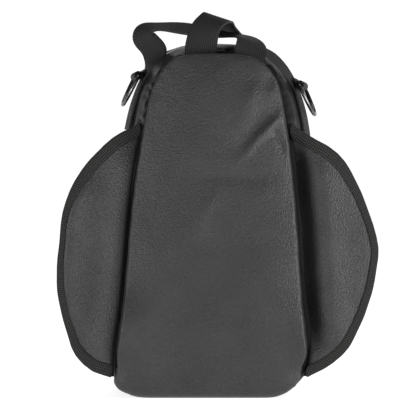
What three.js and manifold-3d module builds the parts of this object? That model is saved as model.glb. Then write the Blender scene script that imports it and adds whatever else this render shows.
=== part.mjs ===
// Motorcycle tank bag, standing on its tail end with its padded underside to the front.
// Millimetres, +Z up, +X to the right of the underside, +Y away from it.
// The origin is the middle of the flat tail face that the bag stands on.
import * as THREE from "three";
import { mergeVertices } from "three/addons/utils/BufferGeometryUtils.js";
import Module from "manifold-3d";

const wasm = await Module();
wasm.setup();

const { smoothstep, lerp, degToRad } = THREE.MathUtils;
const vec = (x, y, z) => new THREE.Vector3(x, y, z);

// Driving sizes. Depths are measured back from the seam round the underside.
const STAND_DEPTH = 55;
const OUTLINE_STEPS = 80;
const CLOTH = 2;
const GAP = 0.4;
const SEWN_GAP = 0.8;

const WEBBING = { width: 32, thickness: 1.8, depth: 60 };
const BINDING = { face: 11, tape: 1.2, steps: 28 };
const WING = { thickness: 4, seat: 7.6, tuck: -0.2, across: 5 };
const ZIP = { depth: 93, opening: 5.6, tape: 1.4, from: 30, reach: 17.8, coil: 20.4 };
const RING = { wire: 2, halfBar: 19.5, drop: 33, corner: 3.5, sides: 8, steps: 38 };
const TAB = { width: 30, clearance: 0.6, foot: 9.5, seat: 1.1 };

// The underside's outline at each height: its middle, which wanders a little, and half its width.
const PANEL_ROWS = [
  { height: 0, middle: -6, half: 34 },
  { height: 0, middle: -6, half: 69 },
  { height: 5, middle: -6.2, half: 82 },
  { height: 14, middle: -5, half: 91.5 },
  { height: 38, middle: -0.7, half: 97 },
  { height: 100, middle: 0.8, half: 91 },
  { height: 200, middle: 1.8, half: 83 },
  { height: 272, middle: 3.5, half: 73.5 },
  { height: 300, middle: 4, half: 69 },
  { height: 320, middle: 4.5, half: 62.5 },
  { height: 333, middle: 4, half: 54 },
  { height: 342, middle: 3, half: 43 },
  { height: 347, middle: 2, half: 22 },
];

// Share of the spread that each height takes: none on the tail, all along the sides, less at the crown.
const SWELL_ROWS = [
  { height: 0, left: 0, right: 0 },
  { height: 15, left: 0.2, right: 0.2 },
  { height: 30, left: 0.6, right: 0.6 },
  { height: 55, left: 1, right: 1 },
  { height: 230, left: 1, right: 1.08 },
  { height: 275, left: 0.93, right: 1.16 },
  { height: 300, left: 0.85, right: 1 },
  { height: 320, left: 0.76, right: 0.85 },
  { height: 340, left: 0.72, right: 0.8 },
  { height: 348, left: 0.7, right: 0.7 },
];

// How far the side walls stand outside that outline, from the seam back to the zip.
const GUSSET_ROWS = [
  { depth: 5.4, spread: -4 },
  { depth: 9, spread: -1.5 },
  { depth: 16, spread: 3.5 },
  { depth: 30, spread: 9 },
  { depth: 52, spread: 14.5 },
  { depth: 74, spread: 18.5 },
  { depth: 90, spread: 20 },
];

// The lid, from its rim round the soft edge to its broad face. Tuck draws the edge in all round,
// and facing is the way the wall looks: 0 sideways, 90 straight back.
const LID_ROWS = [
  { depth: 95, spread: 20, tuck: 0, facing: 0 },
  { depth: 108, spread: 19.5, tuck: 0, facing: 4 },
  { depth: 119, spread: 17.5, tuck: 0.6, facing: 15 },
  { depth: 127, spread: 15, tuck: 4, facing: 38 },
  { depth: 132, spread: 13, tuck: 10, facing: 62 },
  { depth: 134.5, spread: 11, tuck: 19, facing: 80 },
];
const LID_FACE = [
  { depth: 136.5, shrink: 0.74 },
  { depth: 138, shrink: 0.4 },
];
const LID_CROWN = 138.5;

// The padded underside, from the flat back of its rim round the rolled edge to the middle.
const PAD_BACK = [
  { depth: -1, tuck: 20 },
  { depth: 5, tuck: 9 },
  { depth: 5, tuck: 0.5 },
];
const PAD_FRONT = [
  { depth: 2.5, tuck: 0 },
  { depth: -2.5, tuck: 1.5 },
  { depth: -6.5, tuck: 6.5 },
  { depth: -8.5, tuck: 15 },
];
const PAD_FACE = [
  { depth: -10, shrink: 0.75 },
  { depth: -11.5, shrink: 0.45 },
];
const PAD_CROWN = { front: -12, back: -6 };

// Creases pulled across the underside: a ridge or a valley from one point to another.
const PAD_CREASES = [
  { fromX: 74, fromZ: 288, toX: 32, toZ: 240, rise: 1.6, width: 9 },
  { fromX: 62, fromZ: 284, toX: 22, toZ: 240, rise: -1.4, width: 9 },
];

// Outer edge of each wing: its reach beyond the underside, and the depth at which the edge lies.
const WING_ROWS = [
  { height: 277, left: 0, right: 0, leftDepth: 8, rightDepth: 7.6 },
  { height: 262, left: 26.7, right: 21.6, leftDepth: 8, rightDepth: 7.6 },
  { height: 246, left: 41.7, right: 45.1, leftDepth: 8, rightDepth: 7.8 },
  { height: 220, left: 57.7, right: 59.1, leftDepth: 8.4, rightDepth: 8.2 },
  { height: 190, left: 66.2, right: 69.1, leftDepth: 8.8, rightDepth: 8.8 },
  { height: 150, left: 68.5, right: 76.6, leftDepth: 9, rightDepth: 9 },
  { height: 110, left: 66.7, right: 69.3, leftDepth: 8.8, rightDepth: 8.8 },
  { height: 75, left: 55.2, right: 54.6, leftDepth: 8.4, rightDepth: 8.4 },
  { height: 45, left: 41.7, right: 36.1, leftDepth: 8, rightDepth: 8 },
  { height: 27, left: 23.2, right: 15.1, leftDepth: 8, rightDepth: 7.6 },
  { height: 20, left: 0, right: 0, leftDepth: 8, rightDepth: 7.6 },
];
const WING_CURL = { left: 2, right: 2 };

// Two straps cross over the crown, each from a side wall to the far half of the crown seam. A row gives
// the middle of the webbing and the way from its far to its near edge, from the wall to the seam.
const LEFT_STRAP_ROWS = [
  { x: -62.5, depth: 61, z: 351.5, acrossX: 0.72, acrossY: -0.7, acrossZ: 0 },
  { x: -68, depth: 60, z: 361, acrossX: 0.74, acrossY: -0.67, acrossZ: 0 },
  { x: -71.5, depth: 60, z: 370, acrossX: 0.76, acrossY: -0.65, acrossZ: 0 },
  { x: -66, depth: 60, z: 375.8, acrossX: 0.6, acrossY: -0.78, acrossZ: -0.18 },
  { x: -53.5, depth: 60, z: 377.6, acrossX: 0.3, acrossY: -0.92, acrossZ: -0.25 },
  { x: -25, depth: 58, z: 375, acrossX: -0.1, acrossY: -0.88, acrossZ: -0.46 },
  { x: 13.3, depth: 48, z: 366.8, acrossX: -0.1, acrossY: -0.96, acrossZ: -0.2 },
  { x: 33, depth: 31, z: 364.3, acrossX: -0.55, acrossY: -0.83, acrossZ: -0.05 },
  { x: 40.5, depth: 18, z: 357.8, acrossX: -0.84, acrossY: -0.5, acrossZ: 0.17 },
  { x: 39, depth: 8, z: 350, acrossX: -0.94, acrossY: -0.2, acrossZ: 0.2 },
  { x: 37.3, depth: 6.5, z: 344, acrossX: -0.975, acrossY: 0, acrossZ: 0.2 },
];
const RIGHT_STRAP_ROWS = [
  { x: 72.8, depth: 60, z: 340.6, acrossX: -0.16, acrossY: -0.98, acrossZ: 0 },
  { x: 59.5, depth: 65, z: 353.2, acrossX: -0.05, acrossY: -0.98, acrossZ: -0.12 },
  { x: 42, depth: 75, z: 362.8, acrossX: 0.1, acrossY: -0.98, acrossZ: -0.05 },
  { x: 17, depth: 71.5, z: 374.8, acrossX: 0.32, acrossY: -0.92, acrossZ: -0.05 },
  { x: 8.5, depth: 46, z: 380.5, acrossX: 0.76, acrossY: -0.62, acrossZ: -0.2 },
  { x: 6, depth: 18, z: 384, acrossX: 0.8, acrossY: -0.52, acrossZ: -0.29 },
  { x: -5.2, depth: 6.5, z: 374.6, acrossX: 0.89, acrossY: -0.42, acrossZ: -0.14 },
  { x: -9.4, depth: 5, z: 361.5, acrossX: 0.95, acrossY: -0.3, acrossZ: -0.06 },
  { x: -11.2, depth: 6.3, z: 351, acrossX: 0.995, acrossY: -0.05, acrossZ: 0.06 },
  { x: -11.5, depth: 6.5, z: 348.1, acrossX: 0.995, acrossY: 0, acrossZ: 0.1 },
];
const STRAPS = {
  left: { end: 271, tab: 322, top: 335, spring: 0.9, side: -1, restDeg: -4, rows: LEFT_STRAP_ROWS },
  right: { end: 265, tab: 313, top: 327, spring: 0.4, side: 1, restDeg: 0, rows: RIGHT_STRAP_ROWS },
};

// Finishes
const cloth = new THREE.MeshStandardMaterial({ color: 0x4b4b4d, roughness: 0.75, metalness: 0 });
const webbing = new THREE.MeshStandardMaterial({ color: 0x2f2f2f, roughness: 0.85, metalness: 0 });
const tape = new THREE.MeshStandardMaterial({ color: 0x343331, roughness: 0.85, metalness: 0 });
const zipCoil = new THREE.MeshStandardMaterial({ color: 0x1c1c1d, roughness: 0.6, metalness: 0 });
const darkSteel = new THREE.MeshStandardMaterial({ color: 0x3a3a3c, roughness: 0.3, metalness: 0.9 });

// A closed surface through rings of equal count. Open ends are capped, on a pole point where one is given.
function loft(rings, { closed = false, poles = [] } = {}) {
  const count = rings[0].length;
  const points = rings.flat();
  const faces = [];
  const spans = closed ? rings.length : rings.length - 1;
  for (let r = 0; r < spans; r++) {
    const here = r * count;
    const next = ((r + 1) % rings.length) * count;
    for (let k = 0; k < count; k++) {
      const after = (k + 1) % count;
      faces.push(here + k, next + k, here + after);
      faces.push(here + after, next + k, next + after);
    }
  }
  if (!closed) {
    const last = (rings.length - 1) * count;
    faces.push(...capFaces(rings[0], 0, poles[0], points).flatMap(([a, b, c]) => [a, b, c]));
    faces.push(...capFaces(rings.at(-1), last, poles[1], points).flatMap(([a, b, c]) => [a, c, b]));
  }
  const geometry = new THREE.BufferGeometry().setFromPoints(points).setIndex(faces);
  return faceOutwards(geometry);
}

// Triangles that close one end ring: a fan to its pole, or the ring's own polygon.
function capFaces(ring, first, pole, points) {
  const count = ring.length;
  if (pole) {
    points.push(pole);
    const middle = points.length - 1;
    return ring.map((_, k) => [middle, first + k, first + ((k + 1) % count)]);
  }
  const middle = ring.reduce((sum, p) => sum.add(p), vec(0, 0, 0)).divideScalar(count);
  const normal = vec(0, 0, 0);
  ring.forEach((p, k) => {
    const arm = p.clone().sub(middle);
    normal.add(arm.cross(ring[(k + 1) % count].clone().sub(middle)));
  });
  normal.normalize();
  const across = ring[1].clone().sub(ring[0]).normalize();
  const along = normal.clone().cross(across);
  const flat = ring.map((p) => new THREE.Vector2(p.dot(across), p.dot(along)));
  return THREE.ShapeUtils.triangulateShape(flat, []).map((t) => t.map((k) => first + k));
}

// Turns every face round if the surface encloses a negative volume.
function faceOutwards(geometry) {
  const at = geometry.getAttribute("position");
  const index = geometry.index.array;
  const [a, b, c] = [vec(0, 0, 0), vec(0, 0, 0), vec(0, 0, 0)];
  let volume = 0;
  for (let i = 0; i < index.length; i += 3) {
    a.fromBufferAttribute(at, index[i]);
    b.fromBufferAttribute(at, index[i + 1]);
    c.fromBufferAttribute(at, index[i + 2]);
    volume += a.dot(b.cross(c));
  }
  if (volume < 0) index.reverse();
  geometry.computeVertexNormals();
  return geometry;
}

// One solid from several overlapping ones.
function join(...geometries) {
  const solids = geometries.map((g) => {
    const bare = new THREE.BufferGeometry().setAttribute("position", g.getAttribute("position"));
    if (g.index) bare.setIndex(g.index);
    const merged = mergeVertices(bare);
    const mesh = new wasm.Mesh({
      numProp: 3,
      vertProperties: merged.getAttribute("position").array,
      triVerts: new Uint32Array(merged.index.array),
    });
    return new wasm.Manifold(mesh);
  });
  const made = solids.reduce((sum, s) => sum.add(s)).getMesh();
  const geometry = new THREE.BufferGeometry();
  geometry.setAttribute("position", new THREE.BufferAttribute(made.vertProperties, 3));
  geometry.setIndex(new THREE.BufferAttribute(made.triVerts, 1));
  geometry.computeVertexNormals();
  return geometry;
}

// The value of a column at a height, straight between its rows.
function columnAt(rows, column, height) {
  const sorted = [...rows].sort((a, b) => a.height - b.height);
  const above = sorted.findIndex((r) => r.height >= height);
  if (above === 0) return sorted[0][column];
  if (above < 0) return sorted.at(-1)[column];
  const [low, high] = [sorted[above - 1], sorted[above]];
  return lerp(low[column], high[column], (height - low.height) / (high.height - low.height));
}

// The outline of the underside as a closed curve seen from the front: up the right side, over the
// crown and down the left.
const outlineCurve = new THREE.CatmullRomCurve3(
  [
    ...PANEL_ROWS.map((r) => vec(r.middle + r.half, 0, r.height)),
    ...PANEL_ROWS.toReversed().map((r) => vec(r.middle - r.half, 0, r.height)),
  ],
  true,
  "centripetal",
);
const middleAt = (height) => columnAt(PANEL_ROWS, "middle", height);
outlineCurve.arcLengthDivisions = 1200;

// A point of that outline with its outward direction.
function outlineAt(share) {
  const p = outlineCurve.getPointAt(share);
  const t = outlineCurve.getTangentAt(share);
  const low = p.z <= 0;
  return { x: p.x, z: Math.max(0, p.z), outX: low ? 0 : t.z, outZ: low ? -1 : -t.x };
}
const outline = Array.from({ length: OUTLINE_STEPS }, (_, k) => outlineAt(k / OUTLINE_STEPS));

const swell = (p) => columnAt(SWELL_ROWS, p.x < middleAt(p.z) ? "left" : "right", p.z);

const wallPoint = (p, depth, spread, tuck = 0) => {
  const reach = spread * swell(p) - tuck;
  return vec(p.x + p.outX * reach, depth, p.z + p.outZ * reach);
};
const wallRing = (depth, spread, tuck) => outline.map((p) => wallPoint(p, depth, spread, tuck));

const BAG_MIDDLE_HEIGHT = 165;
const shrunkRing = (ring, depth, shrink) =>
  ring.map((p) => vec(p.x * shrink, depth, lerp(BAG_MIDDLE_HEIGHT, p.z, shrink)));

function creaseAt(x, z) {
  return PAD_CREASES.reduce((sum, c) => {
    const [runX, runZ] = [c.toX - c.fromX, c.toZ - c.fromZ];
    const length = Math.hypot(runX, runZ);
    const along = ((x - c.fromX) * runX + (z - c.fromZ) * runZ) / length ** 2;
    const off = ((x - c.fromX) * runZ - (z - c.fromZ) * runX) / length;
    const fade = smoothstep(along, -0.1, 0.2) * (1 - smoothstep(along, 0.6, 1.1));
    return sum + c.rise * fade * Math.exp(-((off / c.width) ** 2));
  }, 0);
}

// Padded underside: a pillow with a flat rim behind its rolled edge.
function basePanel() {
  const back = PAD_BACK.map((r) => wallRing(r.depth, 0, r.tuck));
  const edge = PAD_FRONT.map((r) => wallRing(r.depth, 0, r.tuck));
  const face = PAD_FACE.map((r) => shrunkRing(edge.at(-1), r.depth, r.shrink));
  [...edge.slice(2), ...face].flat().forEach((p) => {
    p.y -= creaseAt(p.x, p.z);
  });
  const poles = [PAD_CROWN.back, PAD_CROWN.front].map((y) => vec(0, y, BAG_MIDDLE_HEIGHT));
  return loft([...back, ...edge, ...face], { poles });
}

// Half the gap between gusset and lid: wide where the zip runs, a butted seam along the tail.
const zipped = (p) => smoothstep(p.z, ZIP.from - 14, ZIP.from);
const halfOpening = (p) => lerp(GAP / 2, ZIP.opening / 2, zipped(p));

// Side walls: one band round the bag, open at both ends.
function gusset() {
  const sections = outline.map((p) => {
    const rows = GUSSET_ROWS.map((r, i) => {
      const rim = i === GUSSET_ROWS.length - 1;
      return { depth: rim ? ZIP.depth - halfOpening(p) : r.depth, spread: r.spread };
    });
    const outer = rows.map((r) => wallPoint(p, r.depth, r.spread));
    const inner = rows.map((r) => wallPoint(p, r.depth, r.spread, CLOTH));
    return [...outer, ...inner.reverse()];
  });
  return loft(sections, { closed: true });
}

// Lid: a soft tray whose mouth meets the gusset.
function lid() {
  const rimDepth = (p, depth, i) => (i === 0 ? ZIP.depth + halfOpening(p) : depth);
  const ringOf = (r, i, inside) =>
    outline.map((p) => {
      const turn = degToRad(r.facing);
      const depth = rimDepth(p, r.depth, i) - inside * Math.sin(turn);
      return wallPoint(p, depth, r.spread, r.tuck + inside * Math.cos(turn));
    });
  const outer = LID_ROWS.map((r, i) => ringOf(r, i, 0));
  const inner = LID_ROWS.map((r, i) => ringOf(r, i, CLOTH));
  const outerFace = LID_FACE.map((r) => shrunkRing(outer.at(-1), r.depth, r.shrink));
  const innerFace = LID_FACE.map((r) => shrunkRing(inner.at(-1), r.depth - CLOTH, r.shrink));
  const rings = [...innerFace.reverse(), ...inner.reverse(), ...outer, ...outerFace];
  const poles = [LID_CROWN - CLOTH, LID_CROWN].map((y) => vec(0, y, BAG_MIDDLE_HEIGHT));
  return loft(rings, { poles });
}

// Zip round the crown and both sides, with its slider and pull in one plain piece.
function zip() {
  const run = outline.filter((p) => p.z >= ZIP.from);
  const start = run.findIndex((p, i) => i > 0 && run[i - 1].x > 0 && p.x < 0 && p.z < BAG_MIDDLE_HEIGHT);
  const ordered = start > 0 ? [...run.slice(start), ...run.slice(0, start)] : run;
  const half = ZIP.opening / 2 - GAP;
  const low = ZIP.reach + ZIP.tape;
  const profile = [
    { back: -half, reach: ZIP.reach },
    { back: -half, reach: low },
    { back: -1, reach: ZIP.coil },
    { back: 1, reach: ZIP.coil },
    { back: half, reach: low },
    { back: half, reach: ZIP.reach },
  ];
  const sections = ordered.map((p) =>
    profile.map((q) => wallPoint(p, ZIP.depth + q.back, 20, 20 - q.reach)),
  );
  return join(loft(sections), ...zipPull(ordered[1]));
}

// Slider and hanging pull, seated on the coil near the zip's lower end.
function zipPull(p) {
  const side = Math.sign(p.outX);
  const seat = wallPoint(p, ZIP.depth, 20, 20 - ZIP.coil);
  const slider = new THREE.BoxGeometry(4, 5, 11);
  slider.translate(seat.x + side * 1.7, seat.y, seat.z + 6);
  const tabShape = new THREE.Shape();
  const [halfWidth, length] = [3, 24];
  tabShape.moveTo(-halfWidth, 0);
  tabShape.lineTo(halfWidth, 0);
  tabShape.lineTo(halfWidth, length - halfWidth);
  tabShape.absarc(0, length - halfWidth, halfWidth, 0, Math.PI, false);
  const tab = new THREE.ExtrudeGeometry(tabShape, { depth: 1.6, bevelEnabled: false, curveSegments: 6 });
  tab.applyMatrix4(new THREE.Matrix4().makeBasis(vec(0, 1, 0), vec(0, 0, -1), vec(-1, 0, 0)));
  tab.translate(seat.x + side * 4.4, seat.y, seat.z + 8);
  return [slider, tab];
}

// A wing's outer edge as a curve, and the depth of its middle surface at a point.
const panelEdge = outlineSides();
function outlineSides() {
  const points = Array.from({ length: 1200 }, (_, k) => outlineAt(k / 1200));
  const sideOf = (keep) => points.filter(keep).map((p) => ({ height: p.z, x: p.x }));
  return { right: sideOf((p) => p.x > middleAt(p.z)), left: sideOf((p) => p.x <= middleAt(p.z)) };
}
const signOf = (hand) => (hand === "left" ? -1 : 1);
const wingRoot = (hand, z) => columnAt(panelEdge[hand], "x", z) - signOf(hand) * WING.tuck;

function wingDepth(hand, x, z) {
  const reach = Math.max(12, columnAt(WING_ROWS, hand, z));
  const out = signOf(hand) * (x - columnAt(panelEdge[hand], "x", z));
  const share = Math.min(1.05, Math.max(0, out / reach)) ** WING_CURL[hand];
  return lerp(WING.seat, columnAt(WING_ROWS, `${hand}Depth`, z), share);
}

// Stations along the edge: the edge itself and the way into the cloth.
function wingEdge(hand) {
  const side = signOf(hand);
  const rows = WING_ROWS.map((r) => {
    const seam = columnAt(panelEdge[hand], "x", r.height);
    return vec(seam + side * r[hand], 0, r.height);
  });
  const curve = new THREE.CatmullRomCurve3(rows, false, "centripetal");
  return Array.from({ length: BINDING.steps + 1 }, (_, i) => {
    const share = i / BINDING.steps;
    const p = curve.getPointAt(share);
    const t = curve.getTangentAt(share);
    return { x: p.x, z: p.z, inX: side * t.z, inZ: -side * t.x };
  });
}

// A point set in from the edge, kept outside the seam by a margin.
function insetFrom(hand, station, inset, margin) {
  const side = signOf(hand);
  const z = station.z + station.inZ * inset;
  const x = station.x + station.inX * inset;
  const limit = wingRoot(hand, z) + side * margin;
  return { x: side * Math.max(side * x, side * limit), z };
}

function wing(hand) {
  const half = WING.thickness / 2;
  const sections = wingEdge(hand).map((station) => {
    const edge = insetFrom(hand, station, BINDING.tape + GAP, 2.5);
    const root = wingRoot(hand, edge.z);
    const across = Array.from({ length: WING.across + 1 }, (_, i) => lerp(root, edge.x, i / WING.across));
    const skin = (offset) => across.map((x) => vec(x, wingDepth(hand, x, edge.z) + offset, edge.z));
    return [...skin(-half), ...skin(half).reverse()];
  });
  return loft(sections);
}

// Folded tape over a wing's edge: a channel open towards the cloth.
function binding(hand) {
  const inner = WING.thickness / 2 + GAP;
  const outer = inner + BINDING.tape;
  const sections = wingEdge(hand).map((station) => {
    const at = (inset, margin, offset) => {
      const p = insetFrom(hand, station, inset, margin);
      return vec(p.x, wingDepth(hand, p.x, p.z) + offset, p.z);
    };
    return [
      at(BINDING.face, 0.6, -outer),
      at(0, 5, -outer),
      at(0, 5, outer),
      at(BINDING.face, 0.6, outer),
      at(BINDING.face, 0.6, inner),
      at(BINDING.tape, 3.2, inner),
      at(BINDING.tape, 3.2, -inner),
      at(BINDING.face, 0.6, -inner),
    ];
  });
  return loft(sections);
}

// Flat webbing along stations that give its middle and the direction across it.
function ribbon(stations, width, thickness, steps) {
  const path = new THREE.CatmullRomCurve3(stations.map((s) => s.at), false, "centripetal");
  const across = new THREE.CatmullRomCurve3(stations.map((s) => s.across), false, "catmullrom");
  const rings = Array.from({ length: steps + 1 }, (_, i) => {
    const share = i / steps;
    const [at, along] = [path.getPoint(share), path.getTangent(share)];
    const side = across.getPoint(share);
    side.addScaledVector(along, -side.dot(along)).normalize();
    const face = along.clone().cross(side);
    const corner = (w, t) => {
      const p = at.clone().addScaledVector(side, (w * width) / 2);
      return p.addScaledVector(face, (t * thickness) / 2);
    };
    return [corner(-1, -1), corner(1, -1), corner(1, 1), corner(-1, 1)];
  });
  return loft(rings);
}

const tableStations = (rows) =>
  rows.map((r) => ({ at: vec(r.x, r.depth, r.z), across: vec(r.acrossX, r.acrossY, r.acrossZ).normalize() }));

// A place on a side wall, lifted off its face: far-to-near across the webbing, up along it, and out.
const dense = Array.from({ length: 2400 }, (_, k) => outlineAt(k / 2400));
const spreadAt = (depth) => {
  const rows = GUSSET_ROWS.map((r) => ({ height: r.depth, spread: r.spread }));
  return columnAt(rows, "spread", depth);
};
function wallPlace(side, height, lift) {
  const nearest = (depth) => {
    const here = dense
      .filter((p) => Math.sign(p.x) === side)
      .map((p) => wallPoint(p, depth, spreadAt(depth)));
    return here.reduce((best, p) => (Math.abs(p.z - height) < Math.abs(best.z - height) ? p : best));
  };
  const [near, far] = [-1, 1].map((s) => nearest(WEBBING.depth + (s * WEBBING.width) / 2));
  const across = near.clone().sub(far).normalize();
  const above = nearest(WEBBING.depth);
  const up = wallSlope(side, height);
  const out = up.clone().cross(across).normalize();
  if (Math.sign(out.x) !== side) out.negate();
  const middle = near.clone().add(far).multiplyScalar(0.5);
  const proud = Math.max(0, above.clone().sub(middle).dot(out));
  return { at: middle.addScaledVector(out, lift + proud), across, up, out };
}
function wallSlope(side, height) {
  const edge = panelEdge[side < 0 ? "left" : "right"];
  const step = 12;
  const [below, above] = [height - step, height + step].map((z) => {
    const x = columnAt(edge, "x", z);
    return vec(x + side * spreadAt(WEBBING.depth) * swell({ x, z }), 0, z);
  });
  return above.sub(below).normalize();
}

const strapLift = SEWN_GAP + WEBBING.thickness / 2;
function carryStrap({ end, tab, top, spring, side, rows }) {
  const sewn = [
    wallPlace(side, end, strapLift),
    wallPlace(side, lerp(end, tab, 0.5), strapLift),
    wallPlace(side, tab, strapLift),
    wallPlace(side, top, strapLift + spring),
  ];
  return ribbon([...sewn, ...tableStations(rows)], WEBBING.width, WEBBING.thickness, 58);
}

// Frame of a ring's tab on the strap's outer face: X along the ring's bar, Y up the strap, Z out.
function tabFrame({ side, tab }) {
  const place = wallPlace(side, tab, strapLift + WEBBING.thickness / 2);
  const group = new THREE.Group();
  const up = place.out.clone().cross(place.across).normalize();
  group.quaternion.setFromRotationMatrix(new THREE.Matrix4().makeBasis(place.across, up, place.out));
  group.position.copy(place.at);
  group.userData.upwards = Math.sign(up.z);
  return group;
}

const loopRadius = RING.wire + TAB.clearance + WEBBING.thickness / 2;
const barHeight = TAB.seat + WEBBING.thickness / 2 + loopRadius;

// Webbing loop round the ring's bar: a sewn foot above it, then three quarters of a turn.
function ringTab(upwards) {
  const foot = barHeight - loopRadius;
  const arc = Array.from({ length: 7 }, (_, i) => {
    const turn = degToRad(90 - i * 43);
    return { out: barHeight + loopRadius * Math.cos(turn), up: loopRadius * Math.sin(turn) };
  });
  const route = [
    { out: foot, up: TAB.foot },
    { out: foot, up: TAB.foot * 0.72 },
    { out: foot + 0.6, up: TAB.foot * 0.45 },
    ...arc,
  ];
  const stations = route.map((r) => ({ at: vec(0, upwards * r.up, r.out), across: vec(1, 0, 0) }));
  return ribbon(stations, TAB.width, WEBBING.thickness, 24);
}

// D ring of round wire, its bar on the local X axis and its bow below.
function dRing(upwards) {
  const path = new THREE.Path();
  const { halfBar, drop, corner } = RING;
  path.moveTo(-halfBar + corner, 0);
  path.lineTo(halfBar - corner, 0);
  path.absarc(halfBar - corner, -corner, corner, Math.PI / 2, 0, true);
  path.absellipse(0, -corner, halfBar, drop - corner, 0, -Math.PI, true);
  path.absarc(-halfBar + corner, -corner, corner, Math.PI, Math.PI / 2, true);
  const points = path.getSpacedPoints(RING.steps).slice(0, RING.steps);
  const rings = points.map((p, i) => {
    const before = points.at(i - 1);
    const after = points[(i + 1) % points.length];
    const along = after.clone().sub(before).normalize();
    const [sideX, sideY] = [along.y, -along.x];
    return Array.from({ length: RING.sides }, (_, k) => {
      const turn = (2 * Math.PI * k) / RING.sides;
      const [out, lift] = [RING.wire * Math.cos(turn), RING.wire * Math.sin(turn)];
      return vec(p.x + sideX * out, upwards * (p.y + sideY * out), lift);
    });
  });
  return loft(rings, { closed: true });
}

// Assembly
const bag = new THREE.Group();
bag.position.y = -STAND_DEPTH;

function add(name, geometry, material, parent = bag) {
  const mesh = new THREE.Mesh(geometry, material);
  mesh.name = name;
  parent.add(mesh);
  return mesh;
}

add("base_panel", basePanel(), cloth);
add("gusset", gusset(), cloth);
add("lid", lid(), cloth);
add("zip", zip(), zipCoil);
for (const hand of ["left", "right"]) {
  add(`wing_${hand}`, wing(hand), cloth);
  add(`wing_binding_${hand}`, binding(hand), tape);
}
for (const [hand, strap] of Object.entries(STRAPS)) {
  add(`carry_strap_${hand}`, carryStrap(strap), webbing);
  const frame = tabFrame(strap);
  const { upwards } = frame.userData;
  bag.add(frame);
  add(`ring_tab_${hand}`, ringTab(upwards), webbing, frame);
  const ring = add(`d_ring_${hand}`, dRing(upwards), darkSteel, frame);
  ring.position.z = barHeight;
  ring.rotation.x = -upwards * degToRad(strap.restDeg);
}

const part = new THREE.Group();
part.add(bag);

export default part;
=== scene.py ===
"""Motorcycle tank bag: padded cloth, ribbed webbing and plated rings over the bag's solids."""

import math

import bpy
import numpy as np
from bpy.props import FloatProperty, FloatVectorProperty, IntProperty, PointerProperty
from bpy.types import Operator, Panel, PropertyGroup
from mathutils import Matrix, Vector, noise


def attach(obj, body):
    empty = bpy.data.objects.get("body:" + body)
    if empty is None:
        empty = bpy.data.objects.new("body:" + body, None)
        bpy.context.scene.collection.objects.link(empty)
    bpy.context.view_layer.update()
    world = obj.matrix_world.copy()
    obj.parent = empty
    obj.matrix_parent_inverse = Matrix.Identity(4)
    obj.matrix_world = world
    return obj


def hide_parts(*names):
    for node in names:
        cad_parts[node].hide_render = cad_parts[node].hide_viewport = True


bl_info = {
    "name": "Tank Bag",
    "version": (1, 0, 0),
    "blender": (4, 5, 0),
    "location": "3D View > Sidebar > Tank Bag",
    "description": "Dresses a motorcycle tank bag in padded cloth, ribbed webbing and plated rings",
    "category": "Object",
}

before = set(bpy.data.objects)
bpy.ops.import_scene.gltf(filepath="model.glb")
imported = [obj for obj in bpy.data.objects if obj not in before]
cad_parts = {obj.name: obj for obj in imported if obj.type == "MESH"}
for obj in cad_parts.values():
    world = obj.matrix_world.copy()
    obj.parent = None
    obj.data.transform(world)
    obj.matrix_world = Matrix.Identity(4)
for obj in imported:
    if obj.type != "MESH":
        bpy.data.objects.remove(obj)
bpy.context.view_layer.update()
MM = 0.001
HANDS = ("left", "right")
SIDES = {"left": -1, "right": 1}

# The picture's side in pixels, and the length that a pixel covers at the seam.
PICTURE_SIDE = 420
PIXEL = 1.0 * MM
SENSOR_WIDTH = 36

# Depths of the seam and the zip, and middles of the underside and the bag.
SEAM_DEPTH = -55 * MM
ZIP_DEPTH = 38 * MM
PANEL_MIDDLE = np.array([2, 0, 170]) * MM
BAG_MIDDLE = np.array([0, 0, 165]) * MM

# Gaps and angles within which points are merged and faces paired or smoothed.
MERGE_GAP = 0.02 * MM
LEVEL_GAP = 0.05 * MM
PAIR_ANGLE = math.radians(60)
SMOOTH_ANGLE = math.radians(50)
CLOTH_QUALITY = 6

# Spans, in millimetres, over which shapes and painted shades come in. A name ends in how it is measured:
# up from the tail, back or out from the seam, across the bag, in from the edge, or from the zip.
ROLL_UP = (25, 60)
PROUD_UP = (125, 70)
PANEL_SHADE_UP = (35, 75)
PANEL_SHADE_BACK = (-10.5, -7.2)
GROOVE_UP = (10, 40)
GROOVE_BACK = (-8, -1)
CROWN_GROOVE_UP = (280, 335)
DRAWN_UP = (262, 290)
DRAWN_EDGE_IN = (14, 0)
CROWN_DRAWN_UP = (300, 335)
CORNER_ACROSS = (-55, -90)
CORNER_UP = (45, 14)
CORNER_FOOT_UP = (3, 10)
FOLD_BACK = (2, -4)
ZIPPED_UP = (16, 30)
RIM_FROM_ZIP = (12, 4)
DENTS_UP = (10, 45)
DENTS_FROM_ZIP = (0, 14)
DENTS_BACK = (5, 15)
PRESS_ACROSS = (30, 45)
PRESS_UP = (315, 335)
PRESS_BACK = (29, 45)
PRESS_END_BACK = (87, 75)
SHOULDER_ACROSS = (30, 55)
SHOULDER_UP = (265, 290)
PULL_UP = (250, 280)
PULL_BACK = (17, 7)
GATHERS_UP = (250, 285)
GATHERS_BACK = (34, 16)
WING_SHADE_OUT = (5.5, 2)
CURL_UP = (60, 130)
CURL_END_UP = (235, 195)
CURL_IN = (13, 0)
STRAP_ACROSS = (28, 42)

# The underside: its held rim, how much it swells sideways, and its edge.
HELD_RIM = 2 * MM
SIDE_SWELL = 0.15
EDGE_LEVELS = 90
CROWN_INSET = 1 * MM
FLANK_SLOPE = 0.35

# Low corners that stand proud, in millimetres: how far, and how far in from the edge.
PROUD_CORNERS = {"left": {"rise": 6.5, "reach": 75}, "right": {"rise": 3.0, "reach": 55}}

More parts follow.
